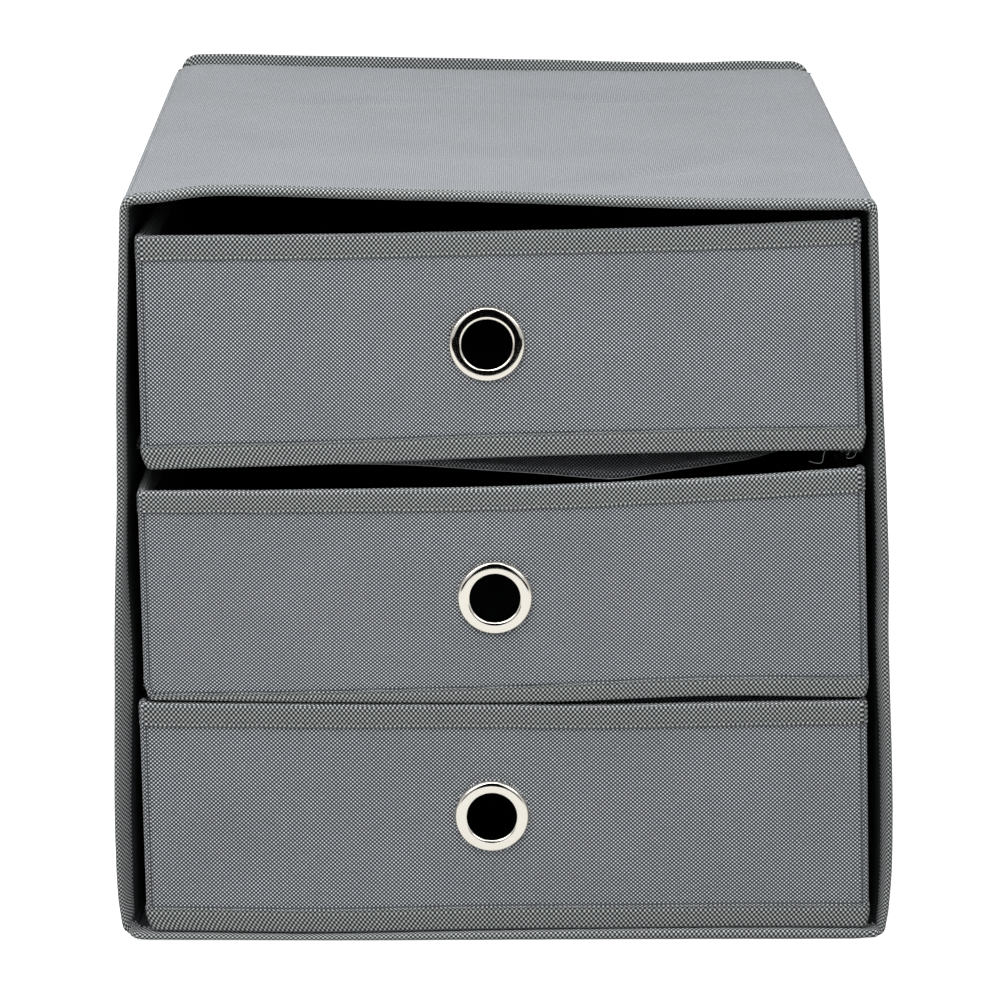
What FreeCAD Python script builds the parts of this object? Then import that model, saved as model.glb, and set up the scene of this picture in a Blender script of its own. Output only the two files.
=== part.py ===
"""Fabric cube dresser: an open-fronted case of Oxford fabric over greyboard, with three pull-out
fabric drawers on two covered shelves. Millimetres, +Z up, the front faces -Y, and the origin is at
the middle of the footprint, on the surface that the case stands on."""

import FreeCAD, Part
import os
import Sketcher

doc = FreeCAD.newDocument("CubeDresser")

# ---------------------------------------------------------------- driving dimensions

SIZES = {
    # the case, over its binding tape
    "case_width": 320,
    "case_depth": 320,
    "case_height": 320,
    # sheet goods
    "oxford_thickness": 0.6,
    "board_thickness": 2.0,
    "lining_thickness": 0.5,
    "tape_thickness": 0.5,
    "tape_width": 9.5,
    # fabric corners and the bound seam that stands up behind the top
    "case_bend_radius": 4.0,
    "drawer_bend_radius": 3.0,
    "seam_fin_rise": 6.5,
    "seam_fin_corner": 4.0,
    # shelves
    "shelf_board_thickness": 1.8,
    "shelf_setback": 20.0,
    "shelf_clearance": 0.4,
    # drawers
    "drawer_width": 300,
    "drawer_depth": 305,
    "drawer_height": 95,
    "lower_drawer_lift": 4.2,
    "middle_drawer_lift": 103.0,
    "upper_drawer_lift": 208.8,
    "drawer_recess": 3.0,
    # how much shorter than its fabric a board is
    "board_play": 1.0,
    # finger eyelet
    "eyelet_flange": 32.0,
    "eyelet_hole": 20.6,
    "eyelet_metal": 0.5,
    "eyelet_crown": 2.0,
    "eyelet_lip": 1.2,
    "eyelet_offset": -4.0,
    "washer_thickness": 0.6,
    "punched_play": 0.2,
}

sheet = doc.addObject("Spreadsheet::Sheet", "Sizes")
for row, (alias, value) in enumerate(SIZES.items(), start=1):
    sheet.set(f"A{row}", alias)
    sheet.set(f"B{row}", str(value))
    sheet.setAlias(f"B{row}", alias)
doc.recompute()


class Length:
    """A length as an expression on the sheet, with the value that it has now."""

    def __init__(self, text, value):
        self.text = text
        self.value = value

    def __add__(self, other):
        return Length(f"({self.text} + {other.text})", self.value + other.value)

    def __sub__(self, other):
        return Length(f"({self.text} - {other.text})", self.value - other.value)

    def __mul__(self, number):
        return Length(f"({self.text} * {number})", self.value * number)

    def __neg__(self):
        return self * -1


def size(alias):
    return Length(f"Sizes.{alias}", float(SIZES[alias]))


# ---------------------------------------------------------------- named positions

ZERO = Length("0", 0.0)
OXFORD = size("oxford_thickness")
BOARD = size("board_thickness")
LINING = size("lining_thickness")
TAPE = size("tape_thickness")
TAPE_WIDTH = size("tape_width")
FOLDED_TAPE = TAPE * 2
WALL = OXFORD + BOARD + LINING

# the case, from its tape inwards
CASE_SIDE = size("case_width") * 0.5
CASE_TOP = size("case_height")
BACK = size("case_depth") * 0.5
MOUTH = -BACK
FABRIC_SIDE = CASE_SIDE - TAPE
FABRIC_TOP = CASE_TOP - TAPE
BOARD_SIDE = FABRIC_SIDE - OXFORD
BOARD_TOP = FABRIC_TOP - OXFORD
LINING_SIDE = BOARD_SIDE - BOARD
LINING_TOP = BOARD_TOP - BOARD
INNER_SIDE = LINING_SIDE - LINING
INNER_TOP = LINING_TOP - LINING
PANEL_FRONT = MOUTH + TAPE
BACK_FABRIC = BACK - FOLDED_TAPE
BACK_BOARD = BACK_FABRIC - OXFORD
BACK_LINING = BACK_BOARD - BOARD
INNER_BACK = BACK_LINING - LINING

# one drawer, from its front bottom edge
DRAWER_SIDE = size("drawer_width") * 0.5
DRAWER_DEPTH = size("drawer_depth")
DRAWER_TOP = size("drawer_height")
DRAWER_FRONT = MOUTH + size("drawer_recess")
EYELET_X = size("eyelet_offset")
EYELET_Z = DRAWER_TOP * 0.5
BARREL_RADIUS = size("eyelet_hole") * 0.5 + size("eyelet_metal")
PUNCHED_RADIUS = BARREL_RADIUS + size("punched_play")

# ---------------------------------------------------------------- builders

parts = []


def sub_part(thing, name):
    """Gives a finished sub-part the name that its file takes."""
    thing.Label = name
    parts.append(thing)
    return thing


def place(thing, x, y, z):
    for axis, expression in zip("xyz", (x, y, z)):
        thing.setExpression(f"Placement.Base.{axis}", expression.text)


def slab(name, low, high):
    """A flat sheet or bar between two corners."""
    box = doc.addObject("Part::Box", name)
    for axis, side, start, end in zip("xyz", ("Length", "Width", "Height"), low, high):
        box.setExpression(side, (end - start).text)
        box.setExpression(f"Placement.Base.{axis}", start.text)
    return box


def cut(name, base, tool):
    thing = doc.addObject("Part::Cut", name)
    thing.Base = base
    thing.Tool = tool
    return thing


def hollow(name, outside, inside):
    """A folded sheet: a slab with another taken out of it."""
    return cut(name, slab(name + "_outside", *outside), slab(name + "_inside", *inside))


def folded(name, *leaves):
    """One length of folded tape: its leaves, each a slab, joined along the folds."""
    tape = doc.addObject("Part::MultiFuse", name)
    tape.Shapes = [slab(f"{name}_leaf_{index}", *leaf) for index, leaf in enumerate(leaves)]
    tape.Refine = True
    return tape


def lengths_of_tape(name, members):
    """The lengths of one tape, butted at the corners, as separate solids of one sub-part."""
    tape = doc.addObject("Part::Compound", name + "_lengths")
    tape.Links = members
    return sub_part(tape, name)


def rod(name, x, y, z, radius, length):
    """A round bar along +Y from the point x, y, z."""
    bar = doc.addObject("Part::Cylinder", name)
    bar.Placement = FreeCAD.Placement(FreeCAD.Vector(), FreeCAD.Rotation(FreeCAD.Vector(1, 0, 0), -90))
    bar.setExpression("Radius", radius.text)
    bar.setExpression("Height", length.text)
    place(bar, x, y, z)
    return bar


START, END, CENTRE = 1, 2, 3
ORIGIN_POINT = (-1, 1)
SKETCH_AXES = {"X": -2, "Y": -1}


def new_body(name, plane_role):
    """A body with an empty sketch on one of its own origin planes."""
    body = doc.addObject("PartDesign::Body", name + "_body")
    sketch = body.newObject("Sketcher::SketchObject", name + "_sketch")
    planes = {feature.Role: feature for feature in body.Origin.OriginFeatures}
    sketch.AttachmentSupport = (planes[plane_role], [""])
    sketch.MapMode = "FlatFace"
    return body, sketch


def dimension(sketch, name, length, kind, *where):
    """A dimension of a sketch, tied to the sheet."""
    index = sketch.addConstraint(Sketcher.Constraint(kind, *where, length.value))
    sketch.renameConstraint(index, name)
    sketch.setExpression(f"Constraints.{name}", length.text)


def pin_point(sketch, name, point, x, y):
    """Holds a point of a sketch at x and y from its origin."""
    for axis, length in (("X", x), ("Y", y)):
        if length.value == 0:
            sketch.addConstraint(Sketcher.Constraint("PointOnObject", *point, SKETCH_AXES[axis]))
            continue
        ends = (*ORIGIN_POINT, *point) if length.value > 0 else (*point, *ORIGIN_POINT)
        distance = length if length.value > 0 else -length
        dimension(sketch, f"{name}_{axis.lower()}", distance, "Distance" + axis, *ends)


def outline(sketch, corners, crowns=None):
    """A closed line through the corners. crowns gives, for a side that runs along X and is an arc,
    how far it rises in Y."""
    crowns = crowns or {}
    points = [FreeCAD.Vector(x.value, y.value, 0) for x, y in corners]
    sides = []
    for index, start in enumerate(points):
        end = points[(index + 1) % len(points)]
        curve = Part.LineSegment(start, end)
        if index in crowns:
            top = (start + end) * 0.5 + FreeCAD.Vector(0, crowns[index].value, 0)
            curve = Part.Arc(start, top, end)
        sides.append(sketch.addGeometry(curve, False))
    # an arc is stored counter-clockwise, so its first point is found by place
    ends = []
    for index, side in enumerate(sides):
        swapped = sketch.getPoint(side, START).distanceToPoint(points[index]) > 1e-6
        ends.append(((side, END), (side, START)) if swapped else ((side, START), (side, END)))
    for index, (first, _) in enumerate(ends):
        previous_last = ends[index - 1][1]
        sketch.addConstraint(Sketcher.Constraint("Coincident", *previous_last, *first))
        pin_point(sketch, f"corner_{index}", first, *corners[index])
    for index, rise in crowns.items():
        half_chord = (corners[(index + 1) % len(points)][0] - corners[index][0]) * 0.5
        value = (half_chord.value**2 + rise.value**2) / (2 * rise.value)
        radius = Length(f"({half_chord.text}^2 + {rise.text}^2) / (2 * {rise.text})", value)
        dimension(sketch, f"crown_{index}", radius, "Radius", sides[index])


def arch(side, foot, crown):
    """The four corners of an arch: up on the left, across, and down on the right."""
    return [(-side, foot), (-side, crown), (side, crown), (side, foot)]


def circle(sketch, name, x, y, radius):
    ring = Part.Circle(FreeCAD.Vector(x.value, y.value, 0), FreeCAD.Vector(0, 0, 1), radius.value)
    index = sketch.addGeometry(ring, False)
    pin_point(sketch, name + "_centre", (index, CENTRE), x, y)
    dimension(sketch, name + "_radius", radius, "Radius", index)


def pad(body, sketch, thickness):
    feature = body.newObject("PartDesign::Pad", body.Name + "_pad")
    feature.Profile = sketch
    feature.setExpression("Length", thickness.text)
    doc.recompute()
    return feature


def round_edges(body, feature, radius, wanted):
    """Rounds the edges of a feature that run straight through the sheet where the test holds."""
    names = []
    for index, edge in enumerate(feature.Shape.Edges, start=1):
        first, last = edge.Vertexes[0].Point, edge.Vertexes[-1].Point
        if wanted(first) and wanted(last) and close_to(first.x, last.x):
            names.append(f"Edge{index}")
    fillet = body.newObject("PartDesign::Fillet", body.Name + "_bend")
    fillet.Base = (feature, names)
    fillet.setExpression("Radius", radius.text)
    doc.recompute()
    return fillet


def close_to(value, target):
    return abs(value - target) < 1e-4


# ---------------------------------------------------------------- the case


def at_corners(half_width, height):
    """A test for the ends of the edges that run along Y at the corners of an arch."""

    def test(point):
        return close_to(abs(point.x), half_width.value) and close_to(point.z, height.value)

    return test


def at_back_corners(half_width, depth):
    """A test for the ends of the upright edges at the back corners of a drawer."""

    def test(point):
        return close_to(abs(point.x), half_width.value) and close_to(point.y, depth.value)

    return test


def upright_plate(name, side, foot, crown, thickness, front, corner):
    """A flat sheet that faces -Y, with its two top corners rounded."""
    body, sketch = new_body(name, "XZ_Plane")
    outline(sketch, arch(side, foot, crown))
    plate = pad(body, sketch, thickness)
    round_edges(body, plate, corner, at_corners(side, crown))
    place(body, ZERO, front + thickness, ZERO)
    return body


def case_wrap():
    """The outer strip of Oxford fabric: left side, top and right side in one piece."""
    bend = size("case_bend_radius")
    body, sketch = new_body("case_wrap_fabric", "XZ_Plane")
    outline(sketch, arch(FABRIC_SIDE, OXFORD, FABRIC_TOP) + arch(BOARD_SIDE, OXFORD, BOARD_TOP)[::-1])
    strip = pad(body, sketch, BACK_BOARD - PANEL_FRONT)
    strip = round_edges(body, strip, bend, at_corners(FABRIC_SIDE, FABRIC_TOP))
    round_edges(body, strip, bend - OXFORD, at_corners(BOARD_SIDE, BOARD_TOP))
    place(body, ZERO, BACK_BOARD, ZERO)
    sub_part(body, "case_wrap_fabric")


def flat_part(name, low, high):
    return sub_part(slab(name + "_slab", low, high), name)


def case_panels():
    """The greyboard panels between the fabric and the lining, and the base fabric. The panels stop
    short of the fabric's bends, which leaves the case's edges free to fold."""
    bend = size("case_bend_radius")
    floor = OXFORD + BOARD
    side_top = BOARD_TOP - bend
    flat_part("case_left_board", (-BOARD_SIDE, PANEL_FRONT, floor), (-LINING_SIDE, BACK_BOARD, side_top))
    flat_part("case_right_board", (LINING_SIDE, PANEL_FRONT, floor), (BOARD_SIDE, BACK_BOARD, side_top))
    top_side = BOARD_SIDE - bend
    flat_part("case_top_board", (-top_side, PANEL_FRONT, LINING_TOP), (top_side, BACK_BOARD, BOARD_TOP))
    flat_part("case_base_board", (-BOARD_SIDE, PANEL_FRONT, OXFORD), (BOARD_SIDE, BACK_BOARD, floor))
    flat_part("case_back_board", (-LINING_SIDE, BACK_LINING, floor), (LINING_SIDE, BACK_BOARD, LINING_TOP))
    under_tape = MOUTH + TAPE_WIDTH
    flat_part("case_base_fabric", (-FABRIC_SIDE, under_tape, ZERO), (FABRIC_SIDE, BACK_FABRIC, OXFORD))


def case_lining():
    """The inner sleeve of nonwoven lining, and the lining of the back."""
    sleeve = hollow(
        "case_lining_sleeve",
        ((-LINING_SIDE, PANEL_FRONT, OXFORD + BOARD), (LINING_SIDE, BACK_LINING, LINING_TOP)),
        ((-INNER_SIDE, PANEL_FRONT, WALL), (INNER_SIDE, BACK_LINING, INNER_TOP)),
    )
    sub_part(sleeve, "case_lining")
    flat_part("case_back_lining", (-INNER_SIDE, INNER_BACK, WALL), (INNER_SIDE, BACK_LINING, INNER_TOP))


def case_front_binding():
    """The tape folded over the edge of the mouth, in four lengths."""
    flap = MOUTH + TAPE_WIDTH
    side_in, top_in, floor_in = INNER_SIDE - TAPE, INNER_TOP - TAPE, WALL + TAPE
    left = folded(
        "mouth_tape_left",
        ((-CASE_SIDE, MOUTH, ZERO), (-side_in, PANEL_FRONT, CASE_TOP)),
        ((-CASE_SIDE, MOUTH, ZERO), (-FABRIC_SIDE, flap, CASE_TOP)),
        ((-INNER_SIDE, MOUTH, floor_in), (-side_in, flap, top_in)),
    )
    right = folded(
        "mouth_tape_right",
        ((side_in, MOUTH, ZERO), (CASE_SIDE, PANEL_FRONT, CASE_TOP)),
        ((FABRIC_SIDE, MOUTH, ZERO), (CASE_SIDE, flap, CASE_TOP)),
        ((side_in, MOUTH, floor_in), (INNER_SIDE, flap, top_in)),
    )
    top = folded(
        "mouth_tape_top",
        ((-side_in, MOUTH, top_in), (side_in, PANEL_FRONT, CASE_TOP)),
        ((-FABRIC_SIDE, PANEL_FRONT, FABRIC_TOP), (FABRIC_SIDE, flap, CASE_TOP)),
        ((-side_in, MOUTH, top_in), (side_in, flap, INNER_TOP)),
    )
    bottom = folded(
        "mouth_tape_bottom",
        ((-side_in, MOUTH, ZERO), (side_in, PANEL_FRONT, floor_in)),
        ((-FABRIC_SIDE, PANEL_FRONT, ZERO), (FABRIC_SIDE, flap, TAPE)),
        ((-side_in, MOUTH, WALL), (side_in, flap, floor_in)),
    )
    lengths_of_tape("case_front_binding", [left, right, top, bottom])


def case_back_and_binding():
    """The back fabric, which stands up past the top as the core of the bound seam, and the tape of
    that seam: folded over the core behind the top, and laid flat down the sides and the bottom."""
    rise, corner = size("seam_fin_rise"), size("seam_fin_corner")
    fin_top = FABRIC_TOP + rise
    back_fabric = upright_plate(
        "case_back_fabric", FABRIC_SIDE, OXFORD, fin_top - TAPE, OXFORD, BACK_BOARD, corner
    )
    sub_part(back_fabric, "case_back_fabric")
    fin_outside = upright_plate(
        "seam_fin", CASE_SIDE, FABRIC_TOP, fin_top, FOLDED_TAPE + OXFORD, BACK_BOARD - TAPE, corner + TAPE
    )
    fin = cut("back_tape_top", fin_outside, back_fabric)
    inner_edge = FABRIC_SIDE - TAPE_WIDTH
    left = slab("back_tape_left", (-FABRIC_SIDE, BACK_FABRIC, OXFORD), (-inner_edge, BACK, FABRIC_TOP))
    right = slab("back_tape_right", (inner_edge, BACK_FABRIC, OXFORD), (FABRIC_SIDE, BACK, FABRIC_TOP))
    foot = slab("back_tape_foot", (-inner_edge, BACK_FABRIC, OXFORD), (inner_edge, BACK, OXFORD + TAPE_WIDTH))
    lengths_of_tape("case_back_binding", [fin, left, right, foot])


def shelf(name, drawer):
    """A board in a fabric sleeve, sewn to the side linings just below the drawer that it carries."""
    top = size(f"{drawer}_lift") - size("shelf_clearance")
    board_top = top - OXFORD
    board_foot = board_top - size("shelf_board_thickness")
    front = MOUTH + size("shelf_setback")
    board = ((-INNER_SIDE, front + OXFORD, board_foot), (INNER_SIDE, INNER_BACK, board_top))
    flat_part(f"{name}_shelf_board", *board)
    outside = ((-INNER_SIDE, front, board_foot - OXFORD), (INNER_SIDE, INNER_BACK, top))
    sub_part(hollow(f"{name}_shelf_sleeve", outside, board), f"{name}_shelf_cover")


# ---------------------------------------------------------------- the drawers


def punched_sheet(name, side, foot, crown, thickness, front, hole_height):
    """A flat sheet that faces -Y, with the round hole of the eyelet."""
    body, sketch = new_body(name, "XZ_Plane")
    outline(sketch, arch(side, foot, crown))
    circle(sketch, "punched_hole", EYELET_X, hole_height, PUNCHED_RADIUS)
    pad(body, sketch, thickness)
    place(body, ZERO, front + thickness, ZERO)
    return sub_part(body, name)


def drawer_walls(name, base):
    """The fabrics, boards and lining of a drawer whose underside is at the height base."""
    fabric_side = DRAWER_SIDE - TAPE
    board_side = fabric_side - OXFORD
    lining_side = board_side - BOARD
    inner_side = lining_side - LINING
    front = DRAWER_FRONT + TAPE
    back = DRAWER_FRONT + DRAWER_DEPTH - TAPE
    front_board, back_board = front + OXFORD, back - OXFORD
    front_lining, back_lining = front_board + BOARD, back_board - BOARD
    foot, crown = base + TAPE, base + DRAWER_TOP - TAPE
    board_foot, board_crown = foot + OXFORD, crown - size("board_play")
    lining_foot = board_foot + BOARD
    bend, play = size("drawer_bend_radius"), size("board_play")
    hole = base + EYELET_Z

    punched_sheet(f"{name}_front_fabric", fabric_side, foot, crown, OXFORD, front, hole)
    body, sketch = new_body(f"{name}_body_fabric", "XY_Plane")
    outline(sketch, arch(fabric_side, front_board, back) + arch(board_side, front_board, back_board)[::-1])
    strip = pad(body, sketch, crown - foot)
    strip = round_edges(body, strip, bend, at_back_corners(fabric_side, back))
    round_edges(body, strip, bend - OXFORD, at_back_corners(board_side, back_board))
    place(body, ZERO, ZERO, foot)
    sub_part(body, f"{name}_body_fabric")

    punched_sheet(f"{name}_front_board", board_side, board_foot, board_crown, BOARD, front_board, hole)
    base_side, side_back, back_side = board_side - play, back_board - bend, board_side - bend
    flat_sheets = {
        "base_fabric": ((-base_side, front_board, foot), (base_side, back_board - play, board_foot)),
        "left_board": ((-board_side, front_lining, board_foot), (-lining_side, side_back, board_crown)),
        "right_board": ((lining_side, front_lining, board_foot), (board_side, side_back, board_crown)),
        "back_board": ((-back_side, back_lining, board_foot), (back_side, back_board, board_crown)),
        "base_board": ((-lining_side, front_lining, board_foot), (lining_side, back_lining, lining_foot)),
    }
    for sheet_name, (low, high) in flat_sheets.items():
        flat_part(f"{name}_{sheet_name}", low, high)
    inner_front, inner_back, floor = front_lining + LINING, back_lining - LINING, lining_foot + LINING
    tray = hollow(
        f"{name}_lining_tray",
        ((-lining_side, front_lining, lining_foot), (lining_side, back_lining, crown)),
        ((-inner_side, inner_front, floor), (inner_side, inner_back, crown)),
    )
    punch = rod(f"{name}_lining_punch", EYELET_X, front_board, hole, PUNCHED_RADIUS, BOARD * 2)
    sub_part(cut(f"{name}_lining_punched", tray, punch), f"{name}_lining")


def drawer_rim_binding(name, base):
    """The tape folded over the top edges of the four walls, in four lengths."""
    fold = FOLDED_TAPE + WALL
    side, inner = DRAWER_SIDE, DRAWER_SIDE - fold
    front, back = DRAWER_FRONT, DRAWER_FRONT + DRAWER_DEPTH
    top = base + DRAWER_TOP
    foot = top - TAPE_WIDTH

    def across(end_name, outer_face, outer_back, inner_front, inner_back, cap_front, cap_back):
        return folded(
            f"{name}_rim_{end_name}",
            ((-side, outer_face, foot), (side, outer_back, top)),
            ((-side, cap_front, top - TAPE), (side, cap_back, top)),
            ((-inner, inner_front, foot), (inner, inner_back, top)),
        )

    def along(end_name, outer_low, outer_high, inner_low, inner_high, cap_low, cap_high):
        return folded(
            f"{name}_rim_{end_name}",
            ((outer_low, front + TAPE, foot), (outer_high, back - TAPE, top - TAPE)),
            ((cap_low, front + fold, top - TAPE), (cap_high, back - fold, top)),
            ((inner_low, front + fold, foot), (inner_high, back - fold, top)),
        )

    lengths = [
        across("front", front, front + TAPE, front + fold - TAPE, front + fold, front, front + fold),
        across("back", back - TAPE, back, back - fold, back - fold + TAPE, back - fold, back),
        along("left", -side, -side + TAPE, -inner - TAPE, -inner, -side, -inner),
        along("right", side - TAPE, side, inner, inner + TAPE, inner, side),
    ]
    lengths_of_tape(f"{name}_rim_binding", lengths)


def drawer_base_binding(name, base):
    """The tape over the bottom edges: up the outside of the walls and in under the base."""
    side, front, back = DRAWER_SIDE, DRAWER_FRONT, DRAWER_FRONT + DRAWER_DEPTH
    top, under = base + TAPE_WIDTH, base + TAPE
    lengths = [
        folded(
            f"{name}_hem_front",
            ((-side, front, base), (side, front + TAPE, top)),
            ((-side, front, base), (side, front + TAPE_WIDTH, under)),
        ),
        folded(
            f"{name}_hem_back",
            ((-side, back - TAPE, base), (side, back, top)),
            ((-side, back - TAPE_WIDTH, base), (side, back, under)),
        ),
        folded(
            f"{name}_hem_left",
            ((-side, front + TAPE_WIDTH, base), (-side + TAPE, back - TAPE_WIDTH, top)),
            ((-side, front + TAPE_WIDTH, base), (-side + TAPE_WIDTH, back - TAPE_WIDTH, under)),
        ),
        folded(
            f"{name}_hem_right",
            ((side - TAPE, front + TAPE_WIDTH, base), (side, back - TAPE_WIDTH, top)),
            ((side - TAPE_WIDTH, front + TAPE_WIDTH, base), (side, back - TAPE_WIDTH, under)),
        ),
    ]
    lengths_of_tape(f"{name}_base_binding", lengths)


def drawer_eyelet(name, base):
    """The two-part eyelet: a crowned flange with a barrel whose end is rolled over a washer."""
    metal, crown = size("eyelet_metal"), size("eyelet_crown")
    hole_radius, flange_radius = size("eyelet_hole") * 0.5, size("eyelet_flange") * 0.5
    lip_radius = BARREL_RADIUS + size("eyelet_lip")
    washer = size("washer_thickness")
    seat = metal + washer + WALL
    innermost = DRAWER_FRONT + TAPE + seat

    body, sketch = new_body(f"{name}_eyelet", "XY_Plane")
    profile = [
        (hole_radius, ZERO),
        (hole_radius, seat),
        (flange_radius, seat),
        (flange_radius - metal, seat),
        (BARREL_RADIUS, seat),
        (BARREL_RADIUS, metal),
        (lip_radius, metal),
        (lip_radius, ZERO),
    ]
    outline(sketch, profile, {1: crown, 3: crown - metal})
    turned = body.newObject("PartDesign::Revolution", f"{name}_eyelet_turned")
    turned.Profile = sketch
    turned.ReferenceAxis = (sketch, ["V_Axis"])
    turned.Angle = 360
    body.Placement = FreeCAD.Placement(FreeCAD.Vector(), FreeCAD.Rotation(FreeCAD.Vector(0, 0, 1), 180))
    place(body, EYELET_X, innermost, base + EYELET_Z)
    sub_part(body, f"{name}_eyelet")

    start = innermost - metal - washer
    ring = rod(f"{name}_washer_disc", EYELET_X, start, base + EYELET_Z, flange_radius, washer)
    bore = rod(f"{name}_washer_bore", EYELET_X, start, base + EYELET_Z, PUNCHED_RADIUS, washer)
    sub_part(cut(f"{name}_washer_ring", ring, bore), f"{name}_eyelet_washer")


# ---------------------------------------------------------------- assembly

case_wrap()
case_panels()
case_lining()
case_front_binding()
case_back_and_binding()
shelf("lower", "middle_drawer")
shelf("upper", "upper_drawer")
for name in ("lower_drawer", "middle_drawer", "upper_drawer"):
    underside = size(f"{name}_lift")
    drawer_walls(name, underside)
    drawer_rim_binding(name, underside)
    drawer_base_binding(name, underside)
    drawer_eyelet(name, underside)

# a body that was placed after its features takes its place in the second pass
doc.recompute()
doc.recompute()

# ---------------------------------------------------------------- checks and export

broken = [thing.Label for thing in doc.Objects if {"Invalid", "Error"} & set(thing.State)]
broken += [thing.Label for thing in parts if thing.Shape.isNull() or not thing.Shape.isValid()]
if broken:
    raise RuntimeError(f"these objects failed: {broken}")

os.makedirs("parts", exist_ok=True)
for thing in parts:
    thing.Shape.exportStep(os.path.join("parts", thing.Label + ".step"))
print(len(parts), "sub-parts written")
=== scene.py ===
"""Fabric cube dresser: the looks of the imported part. Lengths are in millimetres until MM turns them
into metres. The front faces -Y, and every sheet of cloth starts flat, at the size it was cut to."""

import math

import bmesh
import bpy
from mathutils import Matrix, Vector, noise


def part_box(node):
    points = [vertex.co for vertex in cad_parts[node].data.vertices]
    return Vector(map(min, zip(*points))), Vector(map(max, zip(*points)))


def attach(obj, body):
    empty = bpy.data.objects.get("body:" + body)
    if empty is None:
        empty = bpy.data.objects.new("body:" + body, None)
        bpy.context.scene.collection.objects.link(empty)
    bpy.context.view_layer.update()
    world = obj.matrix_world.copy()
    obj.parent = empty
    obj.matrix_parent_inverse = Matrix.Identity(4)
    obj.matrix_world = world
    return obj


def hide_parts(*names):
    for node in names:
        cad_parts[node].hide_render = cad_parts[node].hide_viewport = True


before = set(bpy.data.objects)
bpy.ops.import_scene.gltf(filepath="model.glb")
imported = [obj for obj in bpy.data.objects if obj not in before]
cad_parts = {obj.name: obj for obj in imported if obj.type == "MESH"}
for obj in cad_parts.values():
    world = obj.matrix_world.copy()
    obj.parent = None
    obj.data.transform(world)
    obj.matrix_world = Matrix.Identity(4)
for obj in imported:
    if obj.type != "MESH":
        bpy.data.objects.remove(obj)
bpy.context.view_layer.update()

MM = 0.001

# ---------------------------------------------------------------- sizes that the part's source gives

HALF = 160.0
TOP = 320.0
OXFORD, BOARD, LINING, TAPE = 0.6, 2.0, 0.5, 0.5
TAPE_WIDTH = 9.5
WALL = OXFORD + BOARD + LINING
FOLD = WALL + 2 * TAPE
FIN_RISE = 6.5
DRAWER_HALF, DRAWER_DEPTH, DRAWER_HEIGHT = 150.0, 305.0, 95.0
DRAWER_FRONT = -157.0
DRAWERS = {"lower_drawer": 4.2, "middle_drawer": 103.0, "upper_drawer": 208.8}
EYELET_X = -4.0
SHELF_FRONT = -140.0
# from the middle to the inner face of a side's lining, and to the middle of the back's outer cloth
INSIDE, BACK_CLOTH = HALF - TAPE - WALL, HALF - 2 * TAPE - OXFORD / 2
# from the edge of a tape to the row of stitches, and from stitch to stitch
STITCH_LINE, STITCH = 1.3, 3.6

# ---------------------------------------------------------------- smooth lines


def through(x, *points):
    """The height at x of a smooth line through points, level beyond its ends."""
    if x <= points[0][0]:
        return points[0][1]
    if x >= points[-1][0]:
        return points[-1][1]
    index = next(k for k in range(len(points) - 1) if x <= points[k + 1][0])

    def slope(k):
        before, after = points[max(k - 1, 0)], points[min(k + 1, len(points) - 1)]
        return (after[1] - before[1]) / (after[0] - before[0])

    (x0, v0), (x1, v1) = points[index], points[index + 1]
    span = x1 - x0
    t = (x - x0) / span
    leave, arrive = slope(index) * span, slope(index + 1) * span
    return (
        (2 * t**3 - 3 * t**2 + 1) * v0
        + (t**3 - 2 * t**2 + t) * leave
        + (3 * t**2 - 2 * t**3) * v1
        + (t**3 - t**2) * arrive
    )


def ease(x, low, high):
    """0 below low and 1 above high, with a smooth change between them."""
    t = min(max((x - low) / (high - low), 0.0), 1.0)
    return t * t * (3 - 2 * t)


def waver(x, y, z, length, seed=0.0):
    """A slow unevenness from -1 to 1, with bumps about as long as length."""
    return noise.noise(Vector((x / length + seed, y / length - seed, z / length + 2 * seed)))


class Route:
    """A line through corners in a plane, each corner rounded, that a cloth or tape is led along."""

    def __init__(self, corners, radius, closed=False):
        corners = [Vector(c) for c in corners]
        radii = radius if isinstance(radius, (list, tuple)) else [radius] * len(corners)
        points = []
        for index, corner in enumerate(corners):
            before, after = corners[index - 1], corners[(index + 1) % len(corners)]
            if not closed and index in (0, len(corners) - 1):
                points.append(corner)
                continue
            arrive, leave = (corner - before).normalized(), (after - corner).normalized()
            turn = arrive.angle_signed(leave)
            reach = radii[index] * math.tan(abs(turn) / 2)
            start = corner - arrive * reach
            side = Vector((arrive.y, -arrive.x)) * (1 if turn > 0 else -1)
            centre = start + side * radii[index]
            steps = max(2, math.ceil(abs(turn) / math.radians(6)))
            for step in range(steps + 1):
                spoke = Matrix.Rotation(-turn * step / steps, 2) @ (start - centre)
                points.append(centre + spoke)
        if closed:
            points.append(points[0].copy())
        self.points = points
        self.marks = [0.0]
        for a, b in zip(points, points[1:]):
            self.marks.append(self.marks[-1] + (b - a).length)
        self.length = self.marks[-1]
        self.closed = closed

    def at(self, distance):
        """The point at a distance along the route, and the direction to its left."""
        if self.closed:
            distance %= self.length
        distance = min(max(distance, 0.0), self.length)
        low, high = 0, len(self.marks) - 2
        while low < high:
            middle = (low + high + 1) // 2
            if self.marks[middle] <= distance:
                low = middle
            else:
                high = middle - 1
        a, b = self.points[low], self.points[low + 1]
        ahead = (b - a).normalized()
        span = self.marks[low + 1] - self.marks[low]
        t = 0.0 if span == 0 else (distance - self.marks[low]) / span
        return a + (b - a) * t, Vector((-ahead.y, ahead.x))


# ---------------------------------------------------------------- how the soft part really stands
# Fabric over board is never square. These two shapes take a point of the square part to where it
# lies in the used one. All the layers of a wall go through the same shape, so they stay together.


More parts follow.
